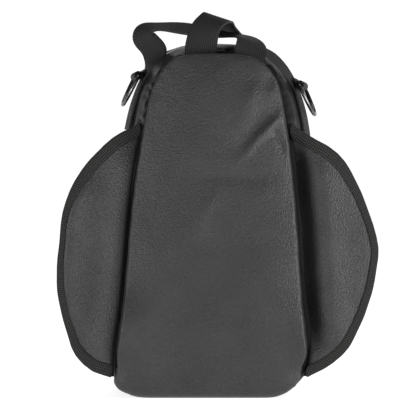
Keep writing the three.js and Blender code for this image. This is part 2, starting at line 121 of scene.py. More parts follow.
# Soft hollows of the foam: depth in millimetres, and waves in a metre across and up.
HOLLOWS = {"depth": 1.2, "across": 22, "up": 15, "phase": 0.5}

# How far the shoulders and the crown are drawn in and the low left corner stands out.
DRAWN_IN = {"left": 1.6 * MM, "right": 2.6 * MM, "crown": 1.6 * MM}
CORNER_OUT = 3 * MM

# Folds pulled across the underside, in millimetres: a ridge or a valley from one point to another.
PANEL_FOLDS = [
    {"from_x": 71, "from_z": 287, "to_x": 22, "to_z": 232, "rise": 2.4, "width": 4.6},
    {"from_x": 60, "from_z": 292, "to_x": 16, "to_z": 240, "rise": -1.5, "width": 10.0},
    {"from_x": 61, "from_z": 269, "to_x": 74, "to_z": 243, "rise": -2.2, "width": 3.0},
    {"from_x": 44, "from_z": 316, "to_x": 30, "to_z": 276, "rise": 1.4, "width": 11.0},
    {"from_x": 66, "from_z": 217, "to_x": -18, "to_z": 224, "rise": -1.4, "width": 9.0},
    {"from_x": 5, "from_z": 214, "to_x": -28, "to_z": 138, "rise": 1.1, "width": 7.0},
]

# How far a fold strays from its line, in its widths, and where it comes and goes along it.
FOLD_WAVER = 0.4
FOLD_WAVES = 3
FOLD_START = (-0.1, 0.3)
FOLD_END = (1.1, 0.4)

# How far the rims of the walls and the lid close, and how much more at the zip.
RIM_CLOSING = 0.9 * MM
ZIP_CLOSING = 0.35 * MM

# Soft dents in shares of the slack, and their waves in a metre across, back and up.
DENT_LEVEL = 0.5
BROAD_DENTS = {"share": 0.7, "waves": (16, 24, 11), "shift": (0, 0, 0)}
CREASES = {"share": -0.5, "waves": (28, 36, 19), "shift": (7, 0, 0)}
CREASE_SHARPNESS = 6

# The band under the straps, in millimetres, and the share of the dents that it keeps.
STRAP_BAND = {"middle_y": 5, "half": 20, "from_z": 255, "share": 0.1}

# The welt beside the seam, the seam's pull and the right strap's press, in millimetres.
WELT = {"rise": 1.8, "back": 12, "width": 4.5}
SEAM_PULL = {"all_round": 2.5, "shoulder": 3.5}
STRAP_PRESS = 4.5 * MM

# Gathers round the shoulders: depth and centre in millimetres, and waves.
GATHERS = {"depth": 3.6, "centre_z": 262, "along": 8.5, "back": 14, "phase": 2.3, "sharpness": 5}

# How far back from the seam the side walls take painted shade, in millimetres.
WALL_SHADE = {"full": 9, "end": 16, "shoulder": 16}

# Where a strap leaves its side wall: how its middle shifts and its near edge turns, over which heights.
# Its far end is tucked into the crown seam and lies along it.
STRAP_LEANS = {
    "left": {
        "lean_up": (326, 345), "ease_up": (366, 354),
        "shift": (4.5, 0, 0), "turn": (0.3, 0, 0),
        "tuck": (0, -5.5, -7.0), "seam": (0.94, 0, -0.34),
    },
    "right": {
        "lean_up": (318, 338), "ease_up": (370, 356),
        "shift": (-2.7, 0, -3.6), "turn": (-0.17, 0, -0.22),
        "tuck": (0, -3.5, -6.0), "seam": (1, 0, 0.02),
    },
}
STRAP_EASE = 5

# Webbing: cuts across it, the rounding of its edges, and the round end of a ring tab.
WEBBING_CUTS = 6
WEBBING_ROUND = 0.35 * MM
TAB_BEND = (-13, -7, -1)
TAB_TURNS = np.radians([12, 24, 36, 48, 60])

# Soft folds that run up the wings, in millimetres: how far out from the seam, and between which heights.
WING_FOLDS = [
    {"hand": "left", "out": 6, "rise": 5.5, "width": 15, "from_z": 5, "to_z": 272},
    {"hand": "left", "out": 68, "rise": 8.5, "width": 24, "from_z": 40, "to_z": 240},
    {"hand": "right", "out": 0, "rise": -12.0, "width": 13, "from_z": 40, "to_z": 275},
    {"hand": "right", "out": 28, "rise": 2.5, "width": 15, "from_z": 40, "to_z": 260},
]
WING_FOLD_FADE = 45

# How much farther each wing's edge is drawn out at each height, in millimetres.
WING_SPREAD = {
    "height": (20, 60, 110, 150, 190, 240, 277),
    "left": (0.0, 0.0, -0.4, -0.4, 0.4, 0.8, 0.0),
    "right": (1.0, 0.8, 1.6, 2.6, 1.8, 1.6, 0.0),
}

# What is held as a wing is filled: a share of its width at the seam, and a strip at its edge.
HELD_SHARE = 0.06
HELD_EDGE = 9 * MM

# Shares of the curl that each wing's edge takes, and how sharply it comes in.
WING_CURL = {"left": 1, "right": 0.3}
CURL_SHARPNESS = 1.5

# Width of the binding that shows in front at each height, in millimetres.
BINDING_FACE = {
    "height": (20, 40, 60, 90, 120, 145, 170, 190, 205, 225, 245, 277),
    "left": (12.0, 9.5, 7.2, 6.0, 5.4, 4.4, 4.0, 5.2, 7.6, 10.0, 11.0, 11.0),
    "right": (9.5, 8.5, 7.6, 6.8, 6.2, 6.0, 6.0, 6.4, 7.2, 9.0, 11.0, 11.0),
}

# The binding: steps along it, turns of its fold, shares of its width, and its waver.
BINDING_STEPS = 110
BINDING_TURNS = np.radians([-90, -50, 0, 50, 90])
BINDING_SHARES = (1, 0.66, 0.33)
BINDING_ROW = 2.2 * MM
BINDING_WAVER = {"depth": 0.8, "waves": 40, "phase": 3}
HALF_WING = 2.4 * MM
SEAM_CLEARANCE = 0.6 * MM

# How much the wire of the rings is filled out to make up for its facets.
WIRE_FILL = 0.12 * MM

# Shine of the cloth, the share of its colour left under the painted shade in a seam, and ribs of a wave of
# scale 1.
CLOTH_SHINE = 0.5
WALL_SHINE = 0.25
PAINTED_SEAM_SHADE = 0.1
WAVE_RIBS = 20 / (2 * math.pi)

# Sockets of a mix of two colours.
MIX_FACTOR = 0
MIX_FIRST = 6
MIX_SECOND = 7
MIX_RESULT = 2

# Lights round the bag, in metres, with how soft each is.
LIGHTS = [
    {"name": "top", "kind": "SUN", "place": (0, -0.3, 2), "softness": {"angle": math.radians(40)}},
    {"name": "key", "kind": "AREA", "place": (1.15, -0.85, 0.2), "softness": {"size": 0.7}},
    {"name": "fill", "kind": "AREA", "place": (-0.9, -0.85, 0.02), "softness": {"size": 0.6}},
]
LIGHT_AIM = Vector((0, 0, 0.18))
FLOOR_SIZE = 30
FLOOR_GLOW = 0.8
WHITE = (1, 1, 1, 1)


class TankBagCloth(PropertyGroup):
    """Sizes of the padded cloth."""

    panel_grid: FloatProperty(
        name="Panel grid", description="Spacing of the underside's mesh", default=3.0 * MM, unit="LENGTH"
    )
    panel_pressure: FloatProperty(name="Panel fill", description="Pressure of the panel's foam", default=3.0)
    panel_swell: FloatProperty(
        name="Panel swell", description="Most that the underside swells", default=4.5 * MM, unit="LENGTH"
    )
    panel_edge: FloatProperty(
        name="Panel edge", description="Radius of the underside's rolled edge", default=3 * MM, unit="LENGTH"
    )
    groove: FloatProperty(
        name="Groove", description="How far the rim lies under the edge", default=4.0 * MM, unit="LENGTH"
    )
    wing_pressure: FloatProperty(name="Wing fill", description="Pressure of the wings' foam", default=3.0)
    wing_swell: FloatProperty(
        name="Wing swell", description="Most that a wing swells", default=2.5 * MM, unit="LENGTH"
    )
    wing_curl: FloatProperty(
        name="Wing curl", description="How far the left edge rolls back", default=3.0 * MM, unit="LENGTH"
    )
    slack: FloatProperty(name="Slack", description="Depth of the soft dents", default=2.4 * MM, unit="LENGTH")
    frames: IntProperty(name="Cloth steps", description="Steps of the cloth simulation", default=20, min=1)


class TankBagTape(PropertyGroup):
    """Sizes of the webbing and the binding."""

    webbing_width: FloatProperty(
        name="Webbing width", description="Width of the carry straps", default=32 * MM, unit="LENGTH"
    )
    webbing_thickness: FloatProperty(
        name="Webbing thickness", description="Thickness of the webbing", default=2.3 * MM, unit="LENGTH"
    )
    tab_width: FloatProperty(
        name="Tab width", description="Width of the ring tabs", default=30 * MM, unit="LENGTH"
    )
    binding_back: FloatProperty(
        name="Binding back", description="Width of binding behind the edge", default=11 * MM, unit="LENGTH"
    )
    binding_thickness: FloatProperty(
        name="Binding thickness", description="Thickness of the binding", default=1.0 * MM, unit="LENGTH"
    )
    binding_reach: FloatProperty(
        name="Binding reach", description="How far the fold stands out", default=1.6 * MM, unit="LENGTH"
    )


class TankBagColours(PropertyGroup):
    """Colours of the finishes."""

    cloth: FloatVectorProperty(
        name="Cloth", description="Underside", subtype="COLOR", default=(0.0138, 0.0134, 0.0145), min=0, max=1
    )
    # Painted shade: the side walls take a darker copy of the underside's cloth.
    wall: FloatVectorProperty(
        name="Wall", description="Side walls", subtype="COLOR", default=(0.0115, 0.0112, 0.0121), min=0, max=1
    )
    # Painted light: the wings take a lighter copy of the underside's cloth.
    wing: FloatVectorProperty(
        name="Wings", description="Wings' cloth", subtype="COLOR", default=(0.019, 0.019, 0.019), min=0, max=1
    )
    webbing: FloatVectorProperty(
        name="Webbing", description="Straps", subtype="COLOR", default=(0.0195, 0.0195, 0.0195), min=0, max=1
    )
    binding: FloatVectorProperty(
        name="Tape", description="Wing edges", subtype="COLOR", default=(0.0195, 0.0195, 0.019), min=0, max=1
    )
    wire: FloatVectorProperty(
        name="Rings", description="Plated wire", subtype="COLOR", default=(0.12, 0.12, 0.123), min=0, max=1
    )
    zip_coil: FloatVectorProperty(
        name="Zip", description="Zip coil and tape", subtype="COLOR", default=(0.01, 0.01, 0.01), min=0, max=1
    )
    floor: FloatVectorProperty(
        name="Floor", description="Pale floor", subtype="COLOR", default=(0.9, 0.9, 0.9), min=0, max=1
    )


class TankBagStage(PropertyGroup):
    """Camera and lights."""

    distance: FloatProperty(name="Distance", description="From camera to seam", default=2.0, unit="LENGTH")
    height: FloatProperty(name="Height", description="Height of the camera", default=0.1885, unit="LENGTH")
    aside: FloatProperty(name="Aside", description="Camera's place across", default=-0.002, unit="LENGTH")
    key: FloatProperty(name="Key", description="Power of the key light", default=20.0, unit="POWER")
    fill: FloatProperty(name="Fill", description="Power of the fill light", default=11.0, unit="POWER")
    top: FloatProperty(name="Top", description="Strength of the light from above", default=0.45)
    backdrop: FloatProperty(name="Backdrop", description="Brightness behind the bag", default=1.05)
    room: FloatProperty(name="Room", description="Brightness in front of the bag", default=0.12)


# Selection, modifiers and mesh points


def pick(piece):
    """Makes one object the only selected one."""
    bpy.ops.object.select_all(action="DESELECT")
    piece.select_set(True)
    bpy.context.view_layer.objects.active = piece


def apply_modifier(piece, kind, **settings):
    """Adds a modifier with these settings and applies it."""
    modifier = piece.modifiers.new(kind.title(), kind)
    for name, value in settings.items():
        setattr(modifier, name, value)
    pick(piece)
    bpy.ops.object.modifier_apply(modifier=modifier.name)


def subdivide(piece, levels):
    apply_modifier(piece, "SUBSURF", levels=levels, render_levels=levels)


def read_points(piece, name):
    """A vector of each point, such as its place."""
    values = np.empty(len(piece.data.vertices) * 3)
    piece.data.vertices.foreach_get(name, values)
    return values.reshape(-1, 3)


def points_of(piece):
    return read_points(piece, "co")


def normals_of(piece):
    return read_points(piece, "normal")


def move_points(piece, points):
    piece.data.vertices.foreach_set("co", points.astype(np.float32).ravel())
    piece.data.update()


def copy_of_node(node, name, quads=True):
    """A merged copy of a solid, free of the frame."""
    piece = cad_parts[node].copy()
    piece.data = piece.data.copy()
    piece.name = name
    piece.data.name = name
    piece.parent = None
    for key in list(piece.keys()):
        del piece[key]
    piece.data.materials.clear()
    bpy.context.scene.collection.objects.link(piece)
    piece.hide_viewport = False
    piece.hide_render = False
    piece.hide_set(False)
    pick(piece)
    bpy.ops.mesh.customdata_custom_splitnormals_clear()
    bpy.ops.object.mode_set(mode="EDIT")
    bpy.ops.mesh.select_all(action="SELECT")
    bpy.ops.mesh.remove_doubles(threshold=MERGE_GAP)
    if quads:
        bpy.ops.mesh.tris_convert_to_quads(face_threshold=PAIR_ANGLE, shape_threshold=PAIR_ANGLE)
    bpy.ops.object.mode_set(mode="OBJECT")
    return piece


def dress(piece, material, slot, body, *nodes):
    """Gives a piece its material and its body, and hides the solids it stands for. The slot is not used."""
    piece.data.materials.clear()
    piece.data.materials.append(bpy.data.materials[material])
    pick(piece)
    bpy.ops.object.shade_smooth_by_angle(angle=SMOOTH_ANGLE)
    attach(piece, body)
    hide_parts(*nodes)


def swell(piece, pressure, frames, held, cap):
    """Fills a closed piece by a cloth simulation, with no point moved past a cap."""
    before = points_of(piece)
    group = piece.vertex_groups.new(name="held")
    group.add([int(i) for i in np.flatnonzero(held)], 1.0, "REPLACE")
    modifier = piece.modifiers.new("Fill", "CLOTH")
    modifier.settings.use_pressure = True
    modifier.settings.uniform_pressure_force = pressure
    modifier.settings.vertex_group_mass = group.name
    modifier.settings.quality = CLOTH_QUALITY
    modifier.settings.effector_weights.gravity = 0
    modifier.collision_settings.use_collision = False
    modifier.point_cache.frame_start = 1
    modifier.point_cache.frame_end = frames
    for step in range(1, frames + 1):
        bpy.context.scene.frame_set(step)
    pick(piece)
    bpy.ops.object.modifier_apply(modifier=modifier.name)
    piece.vertex_groups.clear()
    bpy.context.scene.frame_set(1)
    moved = points_of(piece) - before
    most = np.linalg.norm(moved, axis=1).max()
    move_points(piece, before + moved * min(1, cap / most))


def paint_seam_shade(piece, shade):
    """Keeps how much painted shade each point takes in a seam, from 0 to 1, to darken the cloth's colour."""
    layer = piece.data.attributes.new("seam", "FLOAT", "POINT")
    layer.data.foreach_set("value", shade.astype(np.float32))


def smoothstep(low, high, value):
    """How far a value has come from low to high, eased, from 0 to 1."""
    share = np.clip((value - low) / (high - low), 0, 1)
    return share * share * (3 - 2 * share)


def ease_in(span, value):
    """How far a length has come along a span in millimetres, eased, from 0 to 1."""
    start, full = span
    return smoothstep(start * MM, full * MM, value)


def ripple(*columns):
    """Smooth noise between -1 and 1, at points given as three columns."""
    places = np.column_stack(np.broadcast_arrays(*columns))
    return np.array([noise.noise(Vector(place)) for place in places])


def column(table, name, heights):
    """A table's column at each height, in metres."""
    return np.interp(heights, np.multiply(table["height"], MM), np.multiply(table[name], MM))


# Materials


def add_node(tree, kind, inputs=None, **settings):
    """A shader node with its settings, and its inputs set or linked."""
    made = tree.nodes.new(kind)
    for name, value in settings.items():
        setattr(made, name, value)
    for name, value in (inputs or {}).items():
        if isinstance(value, bpy.types.NodeSocket):
            tree.links.new(value, made.inputs[name])
        else:
            made.inputs[name].default_value = value
    return made


def new_material(name, inputs):
    """A material's node tree and its shader, with some inputs set."""
    material = bpy.data.materials.new(name)
    material.use_nodes = True
    shader = material.node_tree.nodes["Principled BSDF"]
    for socket, value in inputs.items():
        shader.inputs[socket].default_value = value
    return material.node_tree, shader


def speckle(tree, place, scale, detail, roughness=0.5):
    """Fine noise over a surface."""
    inputs = {"Vector": place, "Scale": scale, "Detail": detail, "Roughness": roughness}
    return add_node(tree, "ShaderNodeTexNoise", inputs).outputs["Fac"]


def shades(tree, factor, colour, dark, light, stops=(0.25, 0.75)):
    """A colour that runs from a darker to a lighter shade of itself."""
    ramp = add_node(tree, "ShaderNodeValToRGB", {"Fac": factor})
    for stop, share, place in zip(ramp.color_ramp.elements, (dark, light), stops):
        stop.position = place
        stop.color = (*(share * c for c in colour), 1)
    return ramp.outputs["Color"]


def summed(tree, *terms):
    """The sum of outputs, each with its weight."""
    total = None
    for output, weight in terms:
        scaled = add_node(tree, "ShaderNodeMath", {0: output, 1: weight}, operation="MULTIPLY").outputs[0]
        if total is not None:
            scaled = add_node(tree, "ShaderNodeMath", {0: total, 1: scaled}, operation="ADD").outputs[0]
        total = scaled
    return total


def mixed(tree, factor, first, second):
    """A colour between two others."""
    inputs = {MIX_FACTOR: factor, MIX_FIRST: first, MIX_SECOND: second}
    return add_node(tree, "ShaderNodeMix", inputs, data_type="RGBA").outputs[MIX_RESULT]


def roughen(tree, shader, factor, smooth, rough):
    """A roughness that runs from a smoother to a rougher one."""
    span = {"Value": factor, "To Min": smooth, "To Max": rough}
    tree.links.new(add_node(tree, "ShaderNodeMapRange", span).outputs["Result"], shader.inputs["Roughness"])


def emboss(tree, shader, height, strength, distance):
    """Fine relief on a surface."""
    relief = {"Height": height, "Strength": strength, "Distance": distance}
    tree.links.new(add_node(tree, "ShaderNodeBump", relief).outputs["Normal"], shader.inputs["Normal"])


def coated_cloth(name, colour, shine):
    """Charcoal cloth with a pebbled coat over a fine weave, with painted shade darkening its seams."""
    tree, shader = new_material(name, {"Specular IOR Level": shine})
    place = add_node(tree, "ShaderNodeTexCoord").outputs["Object"]
    drawn = add_node(tree, "ShaderNodeMapping", {"Vector": place, "Scale": (0.8, 0.8, 1.2)}).outputs[0]
    grain = speckle(tree, drawn, scale=600, detail=4, roughness=0.7)
    pebble = add_node(tree, "ShaderNodeTexVoronoi", {"Vector": place, "Scale": 620}).outputs["Distance"]
    patch = speckle(tree, place, scale=26, detail=3)
    tone = summed(tree, (grain, 0.75), (patch, 0.25))
    # Painted shade: where the seam mark is set, the colour darkens and the shine grows rougher.
    seam = add_node(tree, "ShaderNodeAttribute", attribute_name="seam").outputs["Fac"]
    coat = shades(tree, tone, colour, dark=0.1, light=1.9, stops=(0.34, 0.66))
    sewn = (*(PAINTED_SEAM_SHADE * c for c in colour), 1)
    tree.links.new(mixed(tree, seam, coat, sewn), shader.inputs["Base Color"])
    roughen(tree, shader, seam, smooth=0.42, rough=0.9)
    emboss(tree, shader, summed(tree, (grain, 0.7), (pebble, -0.6)), strength=1.0, distance=0.6 * MM)


def wave(tree, place, way, pitch):
    """Ribs at a pitch, in one direction of the tape."""
    ribs = {"Vector": place, "Scale": 1 / (WAVE_RIBS * pitch), "Distortion": 0.6, "Detail": 1.0}
    return add_node(tree, "ShaderNodeTexWave", ribs, bands_direction=way).outputs["Fac"]


def ribbed_tape(name, colour, rib, thread, along):
    """Black tape with ribs along or across it, and threads crossing them."""
    tree, shader = new_material(name, {"Roughness": 0.6, "Specular IOR Level": 0.08})
    place = add_node(tree, "ShaderNodeUVMap", uv_map="UVMap").outputs["UV"]
    ribs = wave(tree, place, "X" if along else "Y", rib)
    threads = wave(tree, place, "Y" if along else "X", thread)
    fuzz = speckle(tree, place, scale=900, detail=2)
    tone = summed(tree, (ribs, 0.4), (threads, 0.3), (fuzz, 0.3))
    tree.links.new(shades(tree, tone, colour, dark=0.25, light=2.2), shader.inputs["Base Color"])
    emboss(tree, shader, summed(tree, (ribs, 0.6), (threads, 0.4)), strength=0.8, distance=0.4 * MM)


def plated_wire(colour):
    """Black plated wire with fine wear."""
    tree, shader = new_material("plated_wire", {"Metallic": 1})
    place = add_node(tree, "ShaderNodeTexCoord").outputs["Object"]
    wear = speckle(tree, place, scale=420, detail=4)
    tree.links.new(shades(tree, wear, colour, dark=0.85, light=1.2), shader.inputs["Base Color"])
    roughen(tree, shader, wear, smooth=0.1, rough=0.2)


def coil_zip(colour):
    """Black zip tape and coil."""
    tree, shader = new_material("coil_zip", {"Roughness": 0.5})
    place = add_node(tree, "ShaderNodeTexCoord").outputs["Object"]
    grain = speckle(tree, place, scale=800, detail=3)
    tree.links.new(shades(tree, grain, colour, dark=0.6, light=1.6), shader.inputs["Base Color"])
    emboss(tree, shader, grain, strength=0.4, distance=0.2 * MM)


def pale_floor(colour):
    """A pale matt floor with a faint glow."""
    matt = {"Base Color": (*colour, 1), "Roughness": 0.9, "Specular IOR Level": 0}
    new_material("pale_floor", {**matt, "Emission Color": WHITE, "Emission Strength": FLOOR_GLOW})


# Webbing and tape


def flat_grid(name, cuts_across, cuts_along):
    """A flat grid, with each point's place across and along it, in cuts."""
    bpy.ops.mesh.primitive_grid_add(x_subdivisions=cuts_across, y_subdivisions=cuts_along, size=1)
    piece = bpy.context.object
    piece.name = name
    flat = points_of(piece)
    across = np.rint((flat[:, 0] + 0.5) * cuts_across).astype(int)
    along = np.rint((flat[:, 1] + 0.5) * cuts_along).astype(int)
    return piece, across, along


def map_tape(piece, across, along):
    """A UV map in metres: across the tape, then along it."""
    layer = piece.data.uv_layers.active
    for loop in piece.data.loops:
        point = loop.vertex_index
        layer.data[loop.index].uv = (across[point], along[point])


def run_along(path):
    """The length of a path up to each of its points."""
    return np.concatenate([[0], np.cumsum(np.linalg.norm(np.diff(path, axis=0), axis=1))])


def sections_of(node, from_top):
    """The middle and width direction of flat webbing at each section of its solid."""
    bare = copy_of_node(node, "bare_webbing", quads=False)
    points = points_of(bare)
    near = {i: set() for i in range(len(points))}
    for edge in bare.data.edges:
        a, b = edge.vertices
        near[a].add(b)
        near[b].add(a)
    bpy.data.objects.remove(bare)
    order = np.argsort(-points[:, 2] if from_top else points[:, 2])
    ring = {int(i) for i in order[:4]}
    seen = set()
    sections = []
    while ring:
        corners = points[sorted(ring)]
        middle = corners.mean(axis=0)
        across = np.linalg.svd(corners - middle)[2][0]
        if sections:
            across = across * np.sign(across @ sections[-1][1])
        sections.append((middle, across))
        seen |= ring
        ring = {j for i in ring for j in near[i]} - seen
    return sections


def ribbon(name, sections, width, thickness, ease=0):
    """Flat webbing along its eased sections."""
    middles = np.array([s[0] for s in sections])
    directions = np.array([s[1] for s in sections])
    for values in (middles, directions):
        for _ in range(ease):
            values[1:-1] = (values[:-2] + 2 * values[1:-1] + values[2:]) / 4
    directions /= np.linalg.norm(directions, axis=1)[:, None]
    piece, across, along = flat_grid(name, WEBBING_CUTS, len(sections) - 1)
    aside = width * (across / WEBBING_CUTS - 0.5)
    move_points(piece, middles[along] + directions[along] * aside[:, None])
    map_tape(piece, aside, run_along(middles)[along])
    apply_modifier(piece, "SUBSURF", levels=1, render_levels=1, boundary_smooth="PRESERVE_CORNERS")
    apply_modifier(piece, "SOLIDIFY", thickness=thickness, offset=0, use_even_offset=True)
    apply_modifier(piece, "BEVEL", width=WEBBING_ROUND, segments=2, limit_method="ANGLE")
    return piece


# Wings


class WingShape:
    """A wing's seam, outer edge and middle surface, read from its solid."""

    def __init__(self, hand):
        self.side = SIDES[hand]
        self.hand = hand
        bare = copy_of_node(f"wing_{hand}", "bare_wing", quads=False)
        points = points_of(bare)
        bpy.data.objects.remove(bare)
        points = points[np.argsort(points[:, 2])]
        levels = np.split(points, np.flatnonzero(np.diff(points[:, 2]) > LEVEL_GAP) + 1)
        middles = [self.middles(level) for level in levels]
        self.heights = np.array([level[:, 2].mean() for level in levels])
        self.inner = np.array([row[0, 0] for row in middles])
        self.bare_outer = np.array([row[-1, 0] for row in middles])
        self.outer = self.bare_outer + self.side * column(WING_SPREAD, hand, self.heights)
        self.depths = np.array([row[:, 1] for row in middles])

    def middles(self, level):
        """Points midway from front to back of one level, from the seam out."""
        reach = level[np.argsort(self.side * level[:, 0])]
        return reach.reshape(-1, 2, 3).mean(axis=1)

    def seam_at(self, z):
        return np.interp(z, self.heights, self.inner)

    def edge_at(self, z):
        return np.interp(z, self.heights, self.outer)

    def share(self, x, z):
        """How far out a point lies, from 0 at the seam to 1 at the outer edge."""
        inner = self.seam_at(z)
        return (x - inner) / (self.edge_at(z) - inner)

    def depth(self, x, z):
        """Depth of the middle surface."""
        last = self.depths.shape[1] - 1
        stack = np.array([np.interp(z, self.heights, depths) for depths in self.depths.T])
        place = np.clip(self.share(x, z), 0, 1) * last
        low = np.minimum(place.astype(int), last - 1)
        part = place - low
        picked = np.arange(len(place))
        return stack[low, picked] * (1 - part) + stack[low + 1, picked] * part

    def edge(self, steps):
        """Points up the outer edge, the outward direction at each, and the run."""
        path = np.column_stack([self.outer, self.heights])
        run = run_along(path)
        even = np.linspace(0, run[-1], steps)
        x = np.interp(even, run, path[:, 0])
        z = np.interp(even, run, path[:, 1])
        along = np.column_stack([np.gradient(x), np.gradient(z)])
        along /= np.linalg.norm(along, axis=1)[:, None]
        out_x = self.side * along[:, 1]
        out_z = -self.side * along[:, 0]
        waver = ripple(BINDING_WAVER["waves"] * even, BINDING_WAVER["phase"] * self.side, 0)
        waver *= BINDING_WAVER["depth"] * MM
        return x + out_x * waver, z + out_z * waver, out_x, out_z, even

    def spread(self, x, z):
        """Where a point goes across the bag as the wing is drawn out."""
        inner = self.seam_at(z)
        bare = np.interp(z, self.heights, self.bare_outer)
        return x + (x - inner) / (bare - inner) * (self.edge_at(z) - bare)

    def sway(self, x, z):
        """How far soft folds lay the cloth back of its plain curve."""
        from_seam = np.abs(x - self.seam_at(z))
        total = np.zeros(len(x))
        for row in WING_FOLDS:
            if row["hand"] == self.hand:
                held = ease_in((row["from_z"], row["from_z"] + WING_FOLD_FADE), z)
                held *= ease_in((row["to_z"], row["to_z"] - WING_FOLD_FADE), z)
                off = (from_seam - row["out"] * MM) / (row["width"] * MM)
                total -= held * row["rise"] * MM * np.exp(-(off**2))
        return total

    def roll(self, x, z, curl):
        """How far the outer edge rolls back: most at mid height, and little on the right."""
        from_edge = np.abs(self.edge_at(z) - x)
        middle = ease_in(CURL_UP, z) * ease_in(CURL_END_UP, z)
        rolled = ease_in(CURL_IN, from_edge) ** CURL_SHARPNESS
        return WING_CURL[self.hand] * curl * middle * rolled


# Pieces


class TANKBAG_OT_base_panel(Operator):
    """Makes the padded underside"""

    bl_idname = "tank_bag.base_panel"
    bl_label = "Underside"

    def execute(self, context):
        size = context.scene.tank_bag_cloth
        panel = copy_of_node("base_panel", "padded_underside")
        apply_modifier(panel, "REMESH", mode="VOXEL", voxel_size=size.panel_grid)
        apply_modifier(panel, "SMOOTH", factor=0.5, iterations=4)
        self.square_up(panel, size.panel_edge)
        self.fill(panel, size)
        apply_modifier(panel, "SMOOTH", factor=0.5, iterations=3)
        subdivide(panel, 1)
        self.groove(panel, size.groove)
        self.fold(panel)
        # Painted shade on the underside's rim near the seam, fading out towards the tail.
        points = points_of(panel)
        sewn = ease_in(PANEL_SHADE_BACK, points[:, 1] - SEAM_DEPTH)
        paint_seam_shade(panel, sewn * ease_in(PANEL_SHADE_UP, points[:, 2]))
        dress(panel, "coated_cloth", "cloth", "bag", "base_panel")
        return {"FINISHED"}

    def fill(self, panel, size):
        """Swells the foam, mostly forwards."""
        start = points_of(panel)
        rim = start[:, 1] > SEAM_DEPTH + HELD_RIM
        swell(panel, size.panel_pressure, size.frames, rim, size.panel_swell)
        points = points_of(panel)
        points[:, [0, 2]] = start[:, [0, 2]] + SIDE_SWELL * (points[:, [0, 2]] - start[:, [0, 2]])
        move_points(panel, points)

    def edges(self, points):
        """How far each point lies in from the left, right and top edges."""
        x, z = points[:, 0], points[:, 2]
        levels = np.linspace(z.min(), z.max(), EDGE_LEVELS)
        band = np.clip(np.searchsorted(levels, z), 1, len(levels) - 1)
        rows = [k for k in range(1, len(levels)) if np.any(band == k)]
        heights = np.array([z[band == k].mean() for k in rows])
        left = x - np.interp(z, heights, [x[band == k].min() for k in rows])
        right = np.interp(z, heights, [x[band == k].max() for k in rows]) - x
        return left, right, z.max() - z

    def square_up(self, panel, radius):
        """Spreads the front flat to a tight roll along the edge, with hollows and proud corners."""
        points = points_of(panel)
        x, y, z = points.T
        left, right, top = self.edges(points)
        inward = np.minimum(np.minimum(left, right), top + CROWN_INSET)
        share = 1 - np.clip(inward / radius, 0, 1)
        flat = SEAM_DEPTH + (y.min() - SEAM_DEPTH) * np.sqrt(1 - share**2)
        facing = (y < SEAM_DEPTH) & (normals_of(panel)[:, 1] < 0)
        onward = facing * ease_in(ROLL_UP, z)
        y += onward * (np.minimum(flat, y) - y)
        rise = HOLLOWS["depth"] * MM * ripple(HOLLOWS["across"] * x, HOLLOWS["phase"], HOLLOWS["up"] * z)
        for hand, inset in (("left", left), ("right", right)):
            corner = PROUD_CORNERS[hand]
            near = np.clip(1 - inset / (corner["reach"] * MM), 0, 1)
            rise += ease_in(PROUD_UP, z) * corner["rise"] * MM * near**2
        y -= onward * (1 - share) * rise
        move_points(panel, points)

    def groove(self, panel, depth):
        """Draws the sewn rim in under the edge, and shapes the shoulders, crown and low left corner."""
        points = points_of(panel)
        x, y, z = points.T
        arm = points - PANEL_MIDDLE
        aside = arm[:, 0] / np.maximum(np.linalg.norm(arm[:, [0, 2]], axis=1), MM)
        sewn = ease_in(GROOVE_BACK, y - SEAM_DEPTH) * ease_in(GROOVE_UP, z)
        flank = np.abs(arm[:, 0]) > FLANK_SLOPE * np.abs(arm[:, 2])
        x -= depth * sewn * np.where(flank, np.sign(aside), aside)
        z -= depth * sewn * ease_in(CROWN_GROOVE_UP, z)
        drawn = ease_in(DRAWN_EDGE_IN, np.minimum.reduce(self.edges(points))) * ease_in(DRAWN_UP, z)
        x -= drawn * aside * np.where(aside > 0, DRAWN_IN["right"], DRAWN_IN["left"])
        z -= drawn * DRAWN_IN["crown"] * ease_in(CROWN_DRAWN_UP, z)
        corner = ease_in(CORNER_ACROSS, x) * ease_in(CORNER_UP, z)
        x -= CORNER_OUT * corner * ease_in(CORNER_FOOT_UP, z)
        move_points(panel, points)

    def fold(self, panel):
        """Pulls the folds across the front."""
        points = points_of(panel)
        front = ease_in(FOLD_BACK, points[:, 1] - SEAM_DEPTH)
        for row in PANEL_FOLDS:
            start = np.array([row["from_x"], row["from_z"]]) * MM
            run = np.array([row["to_x"], row["to_z"]]) * MM - start
            width = row["width"] * MM
            length = np.linalg.norm(run)
            arm = points[:, [0, 2]] - start
            along = arm @ run / length**2
            off = (arm[:, 0] * run[1] - arm[:, 1] * run[0]) / length
            off += FOLD_WAVER * width * ripple(FOLD_WAVES * along, row["from_x"], 0)
            held = smoothstep(*FOLD_START, along) * smoothstep(*FOLD_END, along)
            points[:, 1] -= front * held * row["rise"] * MM * np.exp(-((off / width) ** 2))
        move_points(panel, points)


